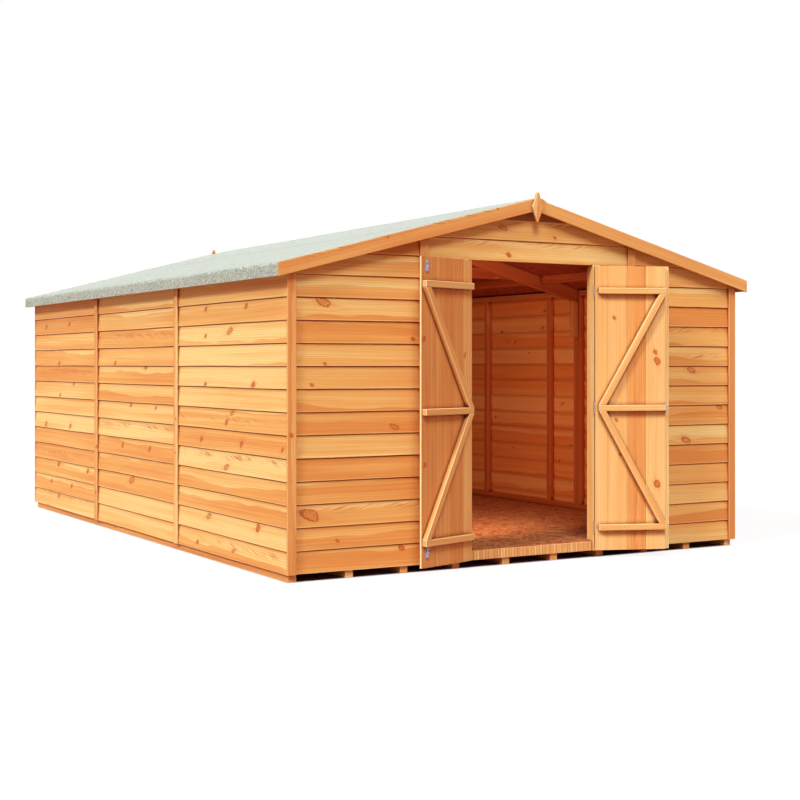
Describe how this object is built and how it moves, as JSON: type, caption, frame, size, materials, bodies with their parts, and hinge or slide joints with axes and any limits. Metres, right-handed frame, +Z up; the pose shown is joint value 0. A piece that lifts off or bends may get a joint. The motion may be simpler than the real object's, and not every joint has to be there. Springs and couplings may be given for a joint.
{
  "type": "wooden garden shed",
  "caption": "Hollow wooden garden shed with lapped board walls, a felted apex roof and a pair of ledged and braced doors hinged on the front gable.",
  "frame": {"origin": "on the ground, at the middle of the wall framing's plan", "axes": "+Z up, +Y from the front gable to the back gable, +X to the right when facing the doors"},
  "size_m": [3.128, 4.7227, 2.0463],
  "materials": {
    "cladding": "golden dip-treated softwood, sawn",
    "framing": "dip-treated softwood, planed",
    "trim": "golden dip-treated softwood, planed",
    "door": "golden tongued and grooved softwood",
    "sheet": "strand board",
    "felt": "mineral felt, pale green-grey",
    "zinc": "zinc-plated steel"
  },
  "bodies": {
    "shed": {"floor_joists": "framing", "floor_deck": "sheet", "threshold": "trim", "side_rails": "framing", "side_studs": "framing", "gable_rails": "framing", "gable_studs": "framing", "door_posts": "trim", "door_lintel": "framing", "left_cladding": "cladding", "right_cladding": "cladding", "back_cladding": "cladding", "front_cladding": "cladding", "door_flank_cladding": "cladding", "header_cladding": "cladding", "corner_strips": "trim", "side_cover_strips": "trim", "gable_cover_strips": "trim", "truss_rafters_left": "framing", "truss_rafters_right": "framing", "truss_ties": "framing", "truss_legs": "framing", "purlins": "framing", "roof_sheet_left": "sheet", "roof_sheet_right": "sheet", "eaves_battens": "framing", "roof_felt_left": "felt", "roof_felt_right": "felt", "eaves_felt": "felt", "bargeboards_left": "trim", "bargeboards_right": "trim", "finials": "trim", "post_hinge_plates": "zinc"},
    "left_door": {"left_door_boards": "door", "left_door_bracing": "door", "left_door_hinge_plates": "zinc", "left_door_bolts": "zinc"},
    "right_door": {"right_door_boards": "door", "right_door_bracing": "door", "right_door_hinge_plates": "zinc", "right_door_cover_strip": "trim", "right_door_lock": "zinc"}
  },
  "joints": [
    {"name": "left_door_hinge", "type": "hinge", "parent": "shed", "child": "left_door", "pos_m": [-0.42, -2.244, 0.8505], "axis": [0, 0, 1], "range_deg": [-10, 162]},
    {"name": "right_door_hinge", "type": "hinge", "parent": "shed", "child": "right_door", "pos_m": [0.42, -2.244, 0.8505], "axis": [0, 0, -1], "range_deg": [-13, 159]}
  ]
}
